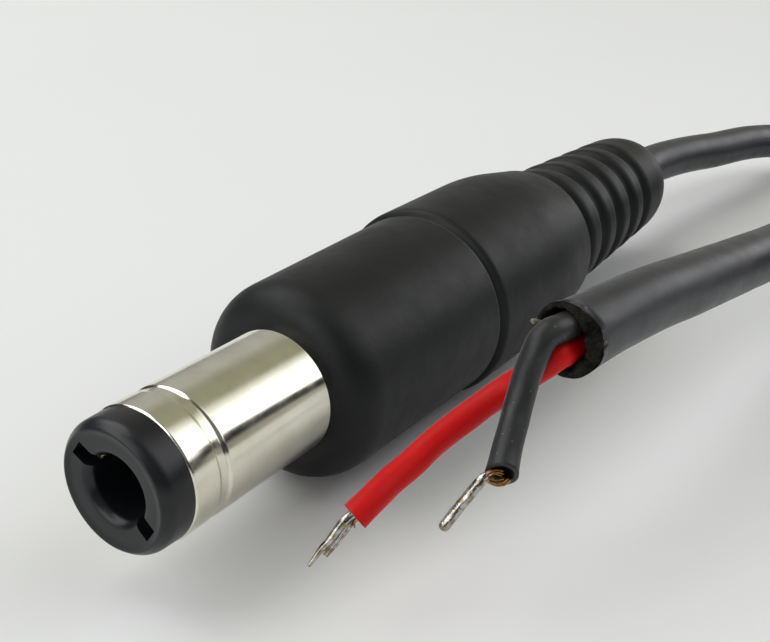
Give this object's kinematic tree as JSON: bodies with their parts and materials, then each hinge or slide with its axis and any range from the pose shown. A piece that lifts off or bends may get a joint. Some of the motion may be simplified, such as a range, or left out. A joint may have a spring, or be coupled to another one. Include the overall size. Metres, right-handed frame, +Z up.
{
  "type": "barrel power plug with stripped lead",
  "caption": "Moulded round barrel plug with a grooved strain relief on a short round cable, coiled and tied, ending in stripped red and black cores.",
  "frame": {"origin": "centre of the plug's underside as it lies on its raised band, on the surface it rests on", "axes": "+X along the plug from its tip towards its cable, +Z up; the stripped end lies on the -Y side"},
  "size_m": [0.0793, 0.0444, 0.0107],
  "materials": {
    "tip_plastic": "moulded black plastic, satin",
    "plated_sleeve": "bright nickel plate on brass, slightly warm",
    "contact_metal": "tinned brass",
    "inner_plastic": "natural moulded plastic",
    "grip_vinyl": "soft black vinyl, fine matt moulding texture",
    "solder": "solder, smooth",
    "cable_jacket": "extruded black vinyl, satin",
    "red_insulation": "red vinyl insulation, satin",
    "black_insulation": "black vinyl insulation, satin",
    "copper_strands": "bare copper strands",
    "tinned_strands": "solder-dipped copper strands",
    "tie_strap": "black strap"
  },
  "bodies": {
    "root": {"tip_insulator": "tip_plastic", "outer_sleeve": "plated_sleeve", "fork_contact": "contact_metal", "insulating_washer": "inner_plastic", "sleeve_tag": "contact_metal", "inner_mould": "inner_plastic", "moulded_grip": "grip_vinyl", "solder_bead_centre": "solder", "solder_bead_sleeve": "solder", "jacket_root": "cable_jacket", "red_core_root": "red_insulation", "black_core_root": "black_insulation", "red_strand_root": "copper_strands", "black_strand_root": "copper_strands", "cable_out": "cable_jacket", "cable_coil": "cable_jacket", "coil_tie": "tie_strap", "cable_return": "cable_jacket", "red_core": "red_insulation", "black_core": "black_insulation", "red_strands": "tinned_strands", "red_stray_strands": "tinned_strands", "black_strands": "tinned_strands"}
  },
  "joints": []
}
